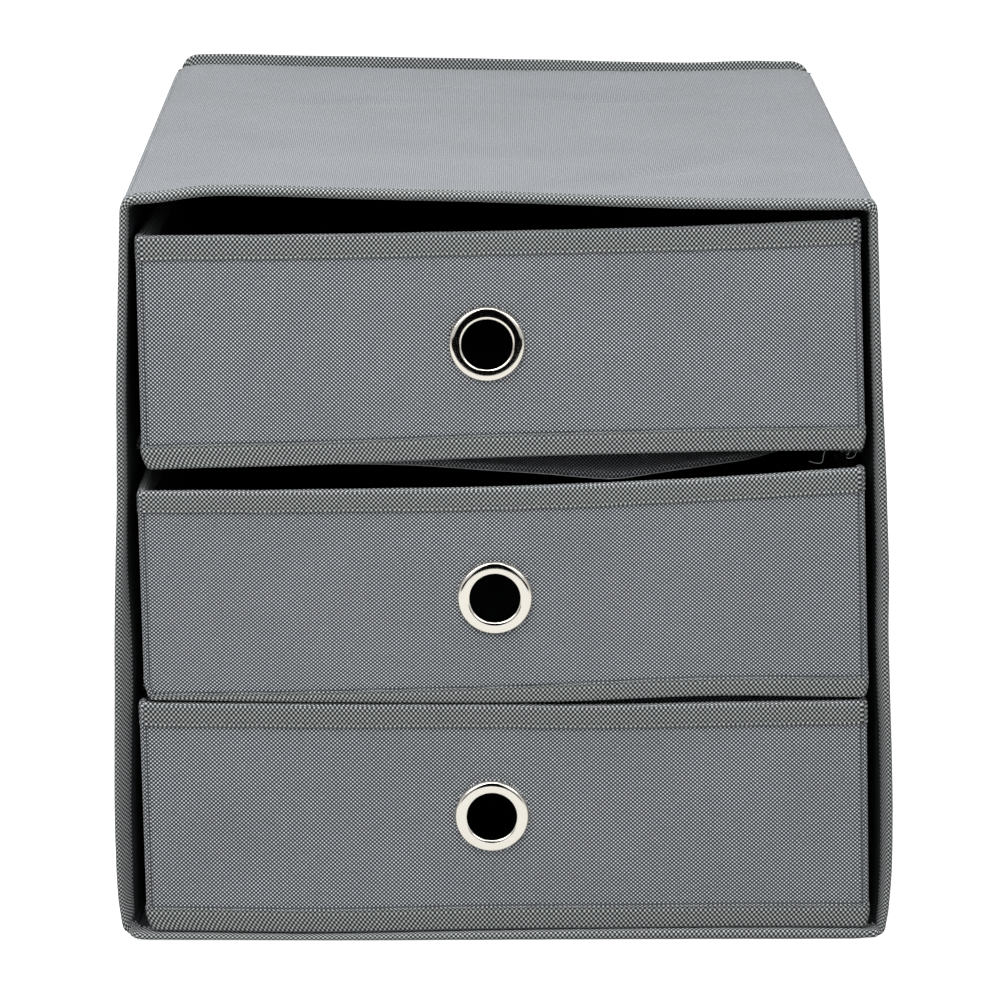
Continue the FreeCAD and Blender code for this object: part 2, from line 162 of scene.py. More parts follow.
def worn_corner(x, z):
    """Rounds the bottom corners of the case, all layers alike: a square shell becomes a round one."""
    radius = 8.0 if x < 0 else 5.0
    aside, below = abs(x) - (HALF - radius), radius - z
    if aside <= 0 or below <= 0:
        return x, z
    drawn_in = max(aside, below) / math.hypot(aside, below)
    return math.copysign(HALF - radius + aside * drawn_in, x), radius - below * drawn_in


def pinched(gap, share, near):
    """Presses a wall thinner at the mouth. gap is from its outside, and share is what it loses."""
    lost = share * near * min(gap, FOLD)
    return gap - lost * (1 - ease(gap, FOLD, 2 * FOLD))


# By height, for each side of the case: how far it stands from the middle, and how much of that it
# has only at the mouth. Then how much it leans from front to back.
CASE_SIDES = {
    "left": (
        (
            (0, 161.4), (7, 161.8), (12, 162.4), (18, 163.1), (31, 163.6), (58, 163.7), (85, 163.0),
            (111, 162.3), (138, 161.5), (164, 160.4), (190, 159.1), (215, 158.4), (241, 157.8),
            (266, 156.7), (291, 155.5), (316, 154.3), (321, 153.8),
        ),
        ((0, 1.0), (15, 3.0), (40, 4.0), (110, 4.4), (135, 3.6), (160, 1.6), (185, 0.6), (320, 0)),
        0.0176,
    ),
    "right": (
        (
            (0, 162.4), (6, 163.0), (12, 163.9), (17, 164.3), (31, 165.0), (57, 164.8), (84, 163.8),
            (111, 162.5), (137, 161.3), (163, 160.9), (189, 159.6), (214, 158.2), (240, 156.5),
            (265, 155.1), (290, 154.0), (315, 152.9), (320, 154.0),
        ),
        ((0, 0.6), (40, 1.8), (110, 1.8), (190, 1.4), (250, 0.5), (320, 0.1)),
        -0.015,
    ),
}
# the share that the tape presses out of the side walls, by height, out of the foot, and of the top
THIN_SIDES = ((0, 0.36), (90, 0.36), (110, 0.22), (320, 0.22))
THIN_FOOT = ((-150, 0.36), (-110, 0.5), (-78, 0.55), (-20, 0.25), (32, 0.05), (91, -0.08), (150, 0.0))
THIN_TOP = 0.06
# how far the top stands above its square height, along its front edge and along its rear edge
TOP_FRONT = ((-160, 1.5), (-146, 2.6), (-120, 5.4), (-60, 4.0), (0, 2.4), (82, -0.4), (150, -1.1))
TOP_REAR = (
    (-160, 3.8), (-156, 5.0), (-148, 6.2), (-123, 6.0), (-89, 5.1), (0, 3.2), (93, 2.5), (148, 3.3),
    (156, 2.3), (160, 1.6),
)


def case_shape(x, y, z):
    """The case is narrower at its top than at its foot. Its top edge waves, its foot is worn, and
    its walls are pinched where the tape binds them and flare out at the mouth."""
    mouth = 1 - ease(y, -HALF, -HALF + 12)
    bound = 1 - ease(y, -152, -142)
    x = math.copysign(HALF - pinched(HALF - abs(x), through(z, *THIN_SIDES), bound), x)
    if z < 2 * FOLD:
        z = pinched(z, through(x, *THIN_FOOT), bound)
    else:
        z = TOP - pinched(TOP - z, THIN_TOP, bound)
    x, z = worn_corner(x, z)
    stands, flare, lean = CASE_SIDES["left" if x < 0 else "right"]
    depth = (y + HALF) / (2 * HALF)
    half = through(z, *stands)
    half -= through(z, *flare) * (1 - mouth) + 0.7 * ease(y, 149, HALF) ** 2
    sideways = x / HALF * half * (1 + lean * depth * z / TOP)
    sag = 1.6 * math.sin(math.pi * min(max(depth, 0), 1)) * math.cos(math.pi * x / (2 * HALF))
    raised = through(x, *TOP_FRONT) * (1 - depth) + through(x, *TOP_REAR) * depth - sag
    dents = ease(z, 300, 315) * top_dents(x, y)
    # the left of the foot is lifted a little at the mouth
    lifted = 0.5 * ease(-x, 40, 150) * (1 - ease(z, 0, 50)) * (1 - depth)
    return sideways, y, z + ease(z, 215, 318) * raised + dents + lifted


# the middle of each hollow or fold in the top, its half-lengths along and across, turn and rise
TOP_DENTS = (
    (-66, 68, 40, 10, 0.06, -2.2),
    (-44, 104, 34, 8, -0.08, 1.0),
    (54, 84, 38, 8, -0.1, -1.8),
    (70, -92, 50, 10, 0.8, -2.2),
    (98, -120, 26, 8, 0.1, -1.4),
    (-92, -60, 55, 30, 0.3, -1.0),
    (105, 45, 34, 22, 0.5, -1.3),
    (-110, 20, 30, 40, 0.2, 1.0),
)


def top_dents(x, y):
    """Soft hollows and folds pressed into the top."""
    inside = ease(HALF - abs(x), 6, 30) * ease(y + HALF, 4, 30) * ease(HALF - y, 4, 30)
    hollows = 0.0
    for middle_x, middle_y, along, across, turn, rise in TOP_DENTS:
        dx, dy = x - middle_x, y - middle_y
        u = (dx * math.cos(turn) + dy * math.sin(turn)) / along
        v = (dy * math.cos(turn) - dx * math.sin(turn)) / across
        hollows += rise * math.exp(-u * u - v * v)
    return inside * (hollows + 0.7 * waver(x, y, 0, 60, 3.1) + 0.3 * waver(x, y, 0, 17, 8.7))


FRONT_EDGES = {
    # how far the foot and the rim of the front wall stand off the square drawer, along its width,
    # the half-widths: at the rim, left and right, then at the foot, and how far the eyelet sits off
    "lower_drawer": (
        ((-150, -0.5), (-125, -0.9), (-80, -1.6), (-20, -1.0), (30, -0.3), (90, 0.5), (150, 0.3)),
        ((-150, 6.8), (-141, 6.5), (-78, 5.8), (0, 4.8), (30, 4.5), (89, 5.8), (146, 6.6)),
        (152.7, 153.5, 151.9, 156.7),
        (-0.3, 1.4),
    ),
    "middle_drawer": (
        ((-150, 3.7), (-141, 3.7), (-78, 2.7), (0, 2.7), (31, 3.1), (89, 5.1), (146, 4.3)),
        ((-150, -0.8), (-139, -0.6), (-77, -0.3), (0, 1.2), (30, 2.1), (88, 4.5), (144, 8.4), (150, 9.0)),
        (151.1, 150.3, 150.4, 154.2),
        (1.2, -1.1),
    ),
    "upper_drawer": (
        ((-150, -2.2), (-139, -1.8), (-77, -0.3), (0, 2.4), (30, 3.4), (88, 4.9), (144, 5.4)),
        (
            (-150, 0.9), (-136, 1.0), (-75, 1.3), (0, 2.2), (30, 2.8), (87, 4.5), (130, 6.2),
            (142, 6.7), (150, 7.4),
        ),
        (149.2, 146.3, 148.9, 150.7),
        (-1.8, 0.9),
    ),
}


def drawer_shape(drawer):
    """The soft shape of a drawer. Its front wall is uneven and worn at the bottom corners, and its
    sides sag, so that they pass under the shelf above."""
    foot, rim, (left_rim, right_rim, left_foot, right_foot), (aside, up) = FRONT_EDGES[drawer]
    base = DRAWERS[drawer]
    seed = base / 37

    def shape(x, y, z):
        height = (z - base) / DRAWER_HEIGHT
        left = left_foot + (left_rim - left_foot) * height
        right = right_foot + (right_rim - right_foot) * height
        near = 1 - ease(y, DRAWER_FRONT + 6, DRAWER_FRONT + 18)
        depth = (y - DRAWER_FRONT) / DRAWER_DEPTH
        worn = (3.0 if x < 0 else 1.6) * max(0.0, 1 - (z - base) / 9) ** 2
        sideways = x / DRAWER_HALF * ((left if x < 0 else right) - worn * near) * (1 - 0.022 * depth)
        # the middle drawer's floor is held up, all along, to run out clear of the rim below it
        carried = 1.0 if drawer == "middle_drawer" else near
        upright = z + carried * through(x, *foot) * (1 - height) + near * through(x, *rim) * height
        upright -= 2.2 * (1 - near) * height * math.sin(math.pi * min(max(depth, 0), 1))
        panel = ease(DRAWER_HALF - abs(x), 2, 25) * ease(height, 0.08, 0.3) * ease(1 - height, 0.08, 0.3)
        swell = 0.9 * waver(x, 0, z, 75, seed) + 0.35 * waver(x, 0, z, 26, seed + 5)
        from_eyelet = math.hypot(x - EYELET_X, z - base - DRAWER_HEIGHT / 2) / 45
        drift = near * math.exp(-(from_eyelet**2))
        return sideways + aside * drift, y + near * panel * swell, upright + up * drift

    return shape


# ---------------------------------------------------------------- materials


def linear(hex_colour):
    """An sRGB colour, as written, turned into the linear one that the shaders take."""
    channels = [int(hex_colour[i : i + 2], 16) / 255 for i in (1, 3, 5)]
    return [c / 12.92 if c <= 0.04045 else ((c + 0.055) / 1.055) ** 2.4 for c in channels] + [1.0]


def node(material, kind, links=None, **settings):
    """Adds a node to a material or to the world, sets its properties or its unlinked inputs, and
    links outputs into its inputs."""
    made = material.node_tree.nodes.new("ShaderNode" + kind)
    for name, value in settings.items():
        if hasattr(made, name):
            setattr(made, name, value)
        else:
            made.inputs[name.replace("_", " ")].default_value = value
    for socket, output in (links or {}).items():
        material.node_tree.links.new(output, made.inputs[socket])
    return made


def new_material(name, **shader):
    """A material with one Principled shader, whose plain values are set on its own sockets."""
    material = bpy.data.materials.new(name)
    material.use_nodes = True
    principled = material.node_tree.nodes["Principled BSDF"]
    for socket, value in shader.items():
        principled.inputs[socket.replace("_", " ")].default_value = value
    return material, principled


def link(material, output, socket):
    material.node_tree.links.new(output, socket)


def lattice(material, pitch, row, wander):
    """A staggered lattice on the cut cloth: 1 in the middle of each spot and -1 between spots.
    pitch is from spot to spot in a row and row is from one row to the next, in millimetres, and
    the rows wander by up to half of wander."""
    cut = node(material, "UVMap", uv_map="Cut")
    drift = node(material, "TexNoise", {"Vector": cut.outputs["UV"]}, Scale=45.0, Detail=1.0)
    moved = node(
        material, "VectorMath", {0: drift.outputs["Color"], 2: cut.outputs["UV"]}, operation="MULTIPLY_ADD"
    )
    moved.inputs[1].default_value = (wander * MM, wander * MM, 0)
    axes = node(material, "SeparateXYZ", {"Vector": moved.outputs[0]})
    waves = []
    for axis, turn in (("X", 2 * math.pi / (pitch * MM)), ("Y", math.pi / (row * MM))):
        scaled = node(material, "Math", {0: axes.outputs[axis]}, operation="MULTIPLY")
        scaled.inputs[1].default_value = turn
        waves.append(node(material, "Math", {0: scaled.outputs[0]}, operation="COSINE"))
    return node(
        material, "Math", {0: waves[0].outputs[0], 1: waves[1].outputs[0]}, operation="MULTIPLY"
    ).outputs[0], cut.outputs["UV"]


def ramp(material, value, stops):
    """A colour ramp with (position, colour) stops."""
    made = node(material, "ValToRGB", {"Fac": value})
    elements = made.color_ramp.elements
    elements[0].position, elements[0].color = stops[0][0], linear(stops[0][1])
    elements[1].position, elements[1].color = stops[-1][0], linear(stops[-1][1])
    for position, colour in stops[1:-1]:
        elements.new(position).color = linear(colour)
    return made.outputs["Color"]


def oxford_weave():
    """Polyester Oxford cloth: thick two-tone yarns whose crowns catch the light as staggered
    dashes, over dark gaps, with a dry matt surface and a soft bloom where it is seen aslant."""
    material, shader = new_material(
        "polyester oxford weave", Roughness=0.75, IOR=1.5, Sheen_Weight=0.26, Sheen_Roughness=0.5
    )
    # the yarns of such cloth are finer than this: they are drawn 0.8 mm apart, so that they show
    spots, cut = lattice(material, 1.76, 0.81, 0.5)
    uneven = node(material, "TexNoise", {"Vector": cut}, Scale=900.0, Detail=2.0)
    cloudy = node(material, "TexNoise", {"Vector": cut}, Scale=22.0, Detail=3.0)
    lifted = node(material, "MapRange", {"Value": spots}, clamp=True, From_Min=-1.0)
    crown = ramp(
        material,
        lifted.outputs[0],
        [(0.0, "#0D1013"), (0.5, "#171B20"), (0.71, "#B4BAC2"), (1.0, "#EEF2F8")],
    )
    shade = node(material, "MapRange", {"Value": cloudy.outputs["Fac"]}, To_Min=0.88, To_Max=1.12)
    speck = node(material, "MapRange", {"Value": uneven.outputs["Fac"]}, To_Min=0.6, To_Max=1.4)
    both = node(material, "Math", {0: shade.outputs[0], 1: speck.outputs[0]}, operation="MULTIPLY")
    colour = node(material, "VectorMath", {0: crown, "Scale": both.outputs[0]}, operation="SCALE")
    link(material, colour.outputs["Vector"], shader.inputs["Base Color"])
    bump = node(material, "Bump", {"Height": lifted.outputs[0]}, Strength=0.5, Distance=0.0003)
    link(material, bump.outputs["Normal"], shader.inputs["Normal"])
    return material


def embossed_tape():
    """Spunbond nonwoven tape, embossed with a diamond lattice of small round pits that look
    nearly black, on a flat pale grey felt of fibres."""
    material, shader = new_material("embossed nonwoven tape", Roughness=0.8, IOR=1.5)
    # the real pits are finer: they are drawn 2.1 mm apart, in rows 0.95 mm apart, so that they show
    spots, cut = lattice(material, 2.1, 0.95, 0.4)
    felt = node(material, "TexNoise", {"Vector": cut}, Scale=1500.0, Detail=3.0)
    soft = node(material, "MapRange", {"Value": felt.outputs["Fac"]}, To_Min=0.68, To_Max=1.32)
    lifted = node(material, "MapRange", {"Value": spots}, clamp=True, From_Min=-1.0)
    pits = ramp(
        material,
        lifted.outputs[0],
        [(0.0, "#D0D4D4"), (0.22, "#A8ACAC"), (0.48, "#707476"), (0.56, "#080909"), (1.0, "#010202")],
    )
    colour = node(material, "VectorMath", {0: pits, "Scale": soft.outputs[0]}, operation="SCALE")
    link(material, colour.outputs["Vector"], shader.inputs["Base Color"])
    depth = node(material, "MapRange", {"Value": spots}, From_Min=0.2, To_Min=1.0, To_Max=0.0)
    bump = node(material, "Bump", {"Height": depth.outputs[0]}, Strength=0.6, Distance=0.00025)
    link(material, bump.outputs["Normal"], shader.inputs["Normal"])
    return material


def speckled(name, low, high, grain, relief, **shader_values):
    """A matt sheet of fibres: two tones in fine grains of a size in millimetres, and a faint relief."""
    material, shader = new_material(name, **shader_values)
    place = node(material, "TexCoord").outputs["Object"]
    grains = node(material, "TexNoise", {"Vector": place}, Scale=1 / (grain * MM), Detail=4.0)
    tones = ramp(material, grains.outputs["Fac"], [(0.3, low), (0.7, high)])
    link(material, tones, shader.inputs["Base Color"])
    bump = node(material, "Bump", {"Height": grains.outputs["Fac"]}, Strength=0.4, Distance=relief * MM)
    link(material, bump.outputs["Normal"], shader.inputs["Normal"])
    return material


def bright_nickel():
    """Nickel-plated brass, polished: a warm white mirror with faint turning marks."""
    material, shader = new_material("polished nickel plate", Metallic=1.0, Roughness=0.08)
    shader.inputs["Base Color"].default_value = linear("#E0DCD3")
    place = node(material, "TexCoord").outputs["Object"]
    wear = node(material, "TexNoise", {"Vector": place}, Scale=700.0, Detail=3.0)
    rough = node(material, "MapRange", {"Value": wear.outputs["Fac"]}, To_Min=0.05, To_Max=0.12)
    link(material, rough.outputs[0], shader.inputs["Roughness"])
    return material


OXFORD_CLOTH = oxford_weave()
TAPE_CLOTH = embossed_tape()
# spunbond lining: dark, matt, with a fine fibre grain
LINING_CLOTH = speckled("spunbond lining", "#202426", "#34393C", 0.5, 0.05, Roughness=0.9)
# greyboard: pressed waste paper, brown-grey with fibre flecks
GREYBOARD = speckled("greyboard", "#7C776D", "#9A9488", 1.2, 0.05, Roughness=0.9)
# a pale strip along a shelf sleeve's folded front edge: a painted highlight where the fold catches the
# light
HEM_HIGHLIGHT_STRIP = speckled("painted hem highlight", "#A8ACAE", "#F2F4F4", 0.9, 0.04, Roughness=0.8)
# spun polyester sewing thread, a little lighter than the tape
THREAD = speckled("sewing thread", "#6F7573", "#8F9593", 0.3, 0.03, Roughness=0.6)
NICKEL = bright_nickel()

SHEET_THICKNESS = {
    OXFORD_CLOTH.name: OXFORD,
    HEM_HIGHLIGHT_STRIP.name: 0.3,
    TAPE_CLOTH.name: TAPE,
    LINING_CLOTH.name: LINING,
}

# ---------------------------------------------------------------- pieces


def finish_piece(bm, name, material, body, nodes=()):
    """Turns a mesh in millimetres into a piece that rides on a body and stands for CAD nodes."""
    bmesh.ops.scale(bm, vec=(MM, MM, MM), verts=bm.verts)
    mesh = bpy.data.meshes.new(name)
    bm.to_mesh(mesh)
    bm.free()
    mesh.polygons.foreach_set("use_smooth", [True] * len(mesh.polygons))
    mesh.materials.append(material)
    piece = bpy.data.objects.new(name, mesh)
    bpy.context.scene.collection.objects.link(piece)
    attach(piece, body)
    if nodes:
        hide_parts(*nodes)
    return piece


def lines(start, end, step, *fine):
    """Where the lines of a cloth's mesh run, from start to end. fine gives (low, high, step) zones."""
    marks = {round(start, 4), round(end, 4)}
    zones = [(start, end, step), *fine]
    for low, high, zone_step in zones:
        count = max(1, math.ceil((high - low) / zone_step))
        for index in range(count + 1):
            at = low + (high - low) * index / count
            inside_finer = any(a < at < b and s < zone_step for a, b, s in fine)
            if not inside_finer and start <= at <= end:
                marks.add(round(at, 4))
    kept = []
    for mark in sorted(marks):
        if not kept or mark - kept[-1] > 0.15:
            kept.append(mark)
    return kept


def flat_cut(across, along):
    """A flat cloth as a mesh with lines at the given distances, in millimetres, and its cut as UVs."""
    bm = bmesh.new()
    columns, rows = len(across) - 1, len(along) - 1
    bmesh.ops.create_grid(bm, x_segments=columns, y_segments=rows, size=0.5)
    cut = bm.loops.layers.uv.new("Cut")
    for vert in bm.verts:
        vert.co.x = across[round((vert.co.x + 0.5) * columns)]
        vert.co.y = along[round((vert.co.y + 0.5) * rows)]
    for face in bm.faces:
        for loop in face.loops:
            loop[cut].uv = (loop.vert.co.x * MM, loop.vert.co.y * MM)
    return bm


def cloth(name, across, along, lay, material, body, nodes=(), hole=None):
    """A sheet of cloth, cut flat and then laid: lay(u, v) gives the place of the point u, v of the
    cut. hole is a round hole in the cut: its middle and its radius."""
    bm = flat_cut(across, along)
    width, length = across[-1] - across[0], along[-1] - along[0]
    area = width * length
    if hole:
        (hole_x, hole_y), radius = hole
        middle = Vector((hole_x, hole_y, 0))
        inner = [f for f in bm.faces if (f.calc_center_median() - middle).length < radius]
        bmesh.ops.delete(bm, geom=inner, context="FACES")
        for vert in bm.verts:
            if vert.is_boundary and (vert.co - middle).length < radius * 1.6:
                vert.co = middle + (vert.co - middle).normalized() * radius
        area -= math.pi * radius**2
    for vert in bm.verts:
        vert.co = lay(vert.co.x, vert.co.y)
    piece = finish_piece(bm, name, material, body, nodes)
    body_of_cloth = piece.modifiers.new("thickness", "SOLIDIFY")
    body_of_cloth.thickness = SHEET_THICKNESS[material.name] * MM
    body_of_cloth.offset = 0.0


# where a board of the case is sliced closer along X, Y and Z, at its bends and at the mouth
CASE_SLICES = (
    (-157, -154, -151, -148, 148, 151, 154, 157),
    range(-158, -140, 2),
    (3, 6, 9, 12),
)


def bent_board(name, shape, body, widest=HALF):
    """A greyboard panel of the part, sliced finely and bent to follow its soft wall. It reaches no
    further out than widest, where the cloth round it turns a corner."""
    bm = bmesh.new()
    bm.from_mesh(bpy.data.objects[name].data)
    bmesh.ops.scale(bm, vec=(1 / MM, 1 / MM, 1 / MM), verts=bm.verts)
    bmesh.ops.remove_doubles(bm, verts=bm.verts, dist=0.001)
    bmesh.ops.dissolve_limit(bm, angle_limit=0.02, verts=bm.verts, edges=bm.edges)
    low, high = (Vector(corner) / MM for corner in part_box(name))
    # the dented top needs closer slices than the rest
    slice_width = 5 if name == "case_top_board" else 14
    for axis in range(3):
        marks = lines(low[axis], high[axis], slice_width)
        if body == "case":
            marks += [mark for mark in CASE_SLICES[axis] if low[axis] < mark < high[axis]]
        for mark in marks:
            cut_at, facing = Vector(), Vector()
            cut_at[axis] = mark
            facing[axis] = 1
            geometry = [*bm.verts, *bm.edges, *bm.faces]
            bmesh.ops.bisect_plane(bm, geom=geometry, plane_co=cut_at, plane_no=facing, dist=0.0001)
    for vert in bm.verts:
        x, y, z = vert.co
        vert.co = shape(max(-widest, min(widest, x)), y, z)
    piece = finish_piece(bm, name + "_bent", GREYBOARD, body, [name])
    piece.data.polygons.foreach_set("use_smooth", [False] * len(piece.data.polygons))


# ---------------------------------------------------------------- the case


def case_arch(inset, foot):
    """The line of a case layer that lies inset from the outside: up the left, across, down the right."""
    side, crown = HALF - inset, TOP - inset
    corners = [(-side, foot), (-side, crown), (side, crown), (side, foot)]
    return Route(corners, max(5.0 - inset, 1.2))


def lay_on_case(route, front, creases=()):
    """Lays a cloth along a route in the XZ plane, with its depth along Y from front. It is pressed
    in along its creases, where one board ends and the next begins."""

    def lay(u, v):
        point, outward = route.at(u)
        for crease in creases:
            point = point - outward * 0.45 * math.exp(-(((u - crease) / 0.5) ** 2))
        return case_shape(point.x, front + v, point.y)

    return lay


def case_cloths():
    outer = case_arch(TAPE + OXFORD / 2, OXFORD)
    # the wrap is pressed in where each side board ends under the top board
    creases = (TOP - 1.1, outer.length - TOP + 1.1)
    bends = [(at - 9, at + 9, 0.9) for at in (TOP - 2, outer.length - TOP + 2)]
    bends += [(0, 14, 1.4), (outer.length - 14, outer.length, 1.4)]
    bends += [(crease - 1.5, crease + 1.5, 0.3) for crease in creases]
    panel_front, back = -HALF + TAPE + 1.6, HALF - 2 * TAPE - OXFORD
    cloth(
        "case_wrap_cloth", lines(0, outer.length, 5.0, *bends),
        lines(0, back - panel_front, 5.0, (0, 20, 1.5)), lay_on_case(outer, panel_front, creases),
        OXFORD_CLOTH, "case", ["case_wrap_fabric"],
    )
    deep = TAPE + OXFORD + BOARD + LINING / 2
    side, floor, ceiling = HALF - deep, deep - TAPE, TOP - deep
    inner = Route([(-side, floor), (-side, ceiling), (side, ceiling), (side, floor)], 1.0, closed=True)
    cloth(
        "case_lining_cloth",
        lines(0, inner.length, 6.0, (0, 14, 1.4), (inner.length - 327, inner.length, 1.4)),
        lines(0, HALF - FOLD - panel_front, 6.0, (0, 20, 1.5)), lay_on_case(inner, panel_front),
        LINING_CLOTH, "case", ["case_lining"],
    )

    def upright(y):
        return lambda u, v: case_shape(u, y, v)

    cloth(
        "case_back_lining_cloth", lines(-INSIDE, INSIDE, 8.0), lines(3.2, 316.2, 8.0),
        upright(HALF - FOLD + LINING / 2), LINING_CLOTH, "case", ["case_back_lining"],
    )
    wide, low, high = 158.8, 0.8, 318.8
    cloth(
        "case_back_cloth", lines(-wide, wide, 6.0, (-wide, -146, 1.4), (146, wide, 1.4)),
        lines(low, high, 6.0, (low, 14, 1.4), (306, high, 1.4)), upright(BACK_CLOTH),
        OXFORD_CLOTH, "case", ["case_back_fabric"],
    )
    wide, foot_front, foot_depth = 159.2, -150, 309
    cloth(
        "case_foot_cloth", lines(-wide, wide, 8.0, (-wide, -146, 1.4), (146, wide, 1.4)),
        lines(0, foot_depth, 8.0, (0, 12, 1.5)), lambda u, v: case_shape(u, foot_front + v, 0.35),
        OXFORD_CLOTH, "case", ["case_base_fabric"],
    )


def case_boards():
    """The panels between the case's cloth and its lining. They stop short of the mouth's tape."""
    for side in ("left", "right", "top", "base", "back"):
        bent_board(f"case_{side}_board", lambda x, y, z: case_shape(x, max(y, -INSIDE), z), "case")


def folded_over(half_gap, leaf, t):
    """A tape folded over an edge, across its width: t runs from one edge of the tape to the other.
    Gives the offset across the wall and how far back from the crest the point lies."""
    turn = math.pi * half_gap
    straight = leaf - half_gap
    if t < straight:
        return half_gap, leaf - t
    if t > straight + turn:
        return -half_gap, half_gap + t - straight - turn
    angle = (t - straight) / half_gap
    return half_gap * math.cos(angle), half_gap - half_gap * math.sin(angle)


def folded_width(half_gap, *leaves):
    """The cut width of a tape whose leaves reach that far back from the crest of its fold."""
    return sum(leaves) - 2 * half_gap + math.pi * half_gap


def tape_lines(width):
    """The mesh lines across a folded tape, close together where it is stitched."""
    stitched = (STITCH_LINE - 0.9, STITCH_LINE + 0.9, 0.3)
    return lines(0, width, 0.7, stitched, (width - stitched[1], width - stitched[0], 0.3))


def pulled_in(t, width):
    """How far the thread pulls a tape in, at a distance across it."""
    near = min(t, width - t)
    return 0.3 * math.exp(-(((near - STITCH_LINE) / 0.4) ** 2))


def stitches(name, rows, body, pitch=STITCH, gap=0.24, thick=0.21):
    """Rows of machine stitches. A row is the length of its line, and the line as a function that
    gives the place at a distance along it."""
    bm = bmesh.new()
    for length, line in rows:
        count = int(length / pitch)
        for index in range(count):
            start = Vector(line((index + gap / 2) * length / count))
            end = Vector(line((index + 1 - gap / 2) * length / count))
            turn = (end - start).to_track_quat("Z", "Y").to_matrix().to_4x4()
            size = Matrix.Diagonal((thick, thick, (end - start).length / 2, 1))
            place = Matrix.Translation((start + end) / 2) @ turn @ size
            bmesh.ops.create_icosphere(bm, subdivisions=1, radius=1.0, matrix=place)
    finish_piece(bm, name, THREAD, body)


def edge_stitches(name, lay, width, start, run, body):
    """A row of stitches along both edges of a folded tape, from start on and over a length of run."""
    rows = [(run, lambda s, u=u: lay(u, start + s, TAPE / 2)) for u in (STITCH_LINE, width - STITCH_LINE)]
    stitches(name, rows, body)


MOUTH_LEAF = 5.5


def mouth_tape(name, start, end, tuck, slants):
    """A length of the tape that is folded over the edge of the mouth, from start to end along the
    loop that begins at the bottom left corner and runs up the left side. tuck is how far its ends
    lie under the next length, and slants is how much its two ends are cut aslant."""
    middle = FOLD / 2
    side, crown = HALF - middle, TOP - middle
    corners = [(-side, middle), (-side, crown), (side, crown), (side, middle)]
    loop = Route(corners, [2.5, 4.5, 4.5, 2.5], closed=True)
    half_gap = middle - TAPE / 2
    across = tape_lines(folded_width(half_gap, MOUTH_LEAF, TAPE_WIDTH))
    width = across[-1]

    def lay(u, v, above=0.0):
        slant = slants[0] * (1 - ease(v, start, start + 20)) - slants[1] * ease(v, end - 20, end)
        point, outward = loop.at(v + slant * u / width)
        tucked = tuck * (1 - ease(min(v - start, end - v), 8, 18))
        squeeze = 1 + 0.05 * waver(v, 0, 0, 14, 1.7) + 0.04 * waver(v, 0, 0, 4, 2.9)
        offset, back = folded_over(half_gap, MOUTH_LEAF, u)
        raised = (above - pulled_in(u, width)) * (1 if offset > 0 else -1)
        at = point + outward * (offset * squeeze * (1 - tucked / half_gap) + raised)
        return case_shape(at.x, -HALF + TAPE / 2 + tucked + back, max(at.y, TAPE / 2))

    turns = [(at - 12, at + 12, 0.9) for at in (0, 314, 628, 942, 1256)]
    fine = [(max(a, start), min(b, end), s) for a, b, s in turns if a < end and b > start]
    cloth(
        name, across, lines(start, end, 3.0, *fine), lay, TAPE_CLOTH, "case", ["case_front_binding"],
    )
    edge_stitches(name + "_stitches", lay, width, start + 1, end - start - 2, "case")


# the share of its full height that the seam behind the top stands up, along its length
FIN_TALL = (
    (-148, 0.71), (-123, 0.73), (-89, 0.74), (0, 0.77), (60, 0.66), (93, 0.58), (128, 0.57),
    (148, 0.44),
)


def seam_fin():
    """The bound seam that stands up behind the top, rounded down at its ends."""
    half_gap = 0.55
    width = folded_width(half_gap, FIN_RISE, FIN_RISE)
    left, right = -HALF + 3.0, HALF - 2.8

    def lay(u, v, above=0.0):
        offset, back = folded_over(half_gap, FIN_RISE, u)
        pulled = (pulled_in(u, width) * 0.6 - above) * (1 if offset > 0 else -1)
        end = max(0.0, 1 - min(v - left, right - v) / 7.5)
        # where it stands lower, more of each leaf is tucked down beside the seam
        rise = FIN_RISE * through(v, *FIN_TALL) * math.sqrt(max(0.0, 1 - end * end)) - back
        share = max(rise, 0.0) / FIN_RISE
        # the foot of its front leaf lifts off the top near the right end
        lifted = 0.9 * math.exp(-(((v - 148) / 3.5) ** 2)) * (1 - share) if offset > 0 else 0.0
        lean = 0.6 * share * waver(v, 0, 0, 45, 4.2)
        x, y, z = case_shape(v, BACK_CLOTH, TOP - TAPE)
        bow = 0.35 * waver(v, 0, 0, 30, 9.4) * share
        sunk = end**4
        return x, min(y - offset + pulled + lean, 159.6) - sunk, z + rise + bow + lifted - 2.0 * sunk

    across = lines(0, width, 0.6, (width / 2 - 1.2, width / 2 + 1.2, 0.25))
    along = lines(left, right, 3.0, (left, left + 9, 0.7), (right - 15, right, 0.7))
    cloth("seam_fin_tape", across, along, lay, TAPE_CLOTH, "case", ["case_back_binding"])
    edge_stitches("seam_fin_stitches", lay, width, left + 10, right - left - 20, "case")


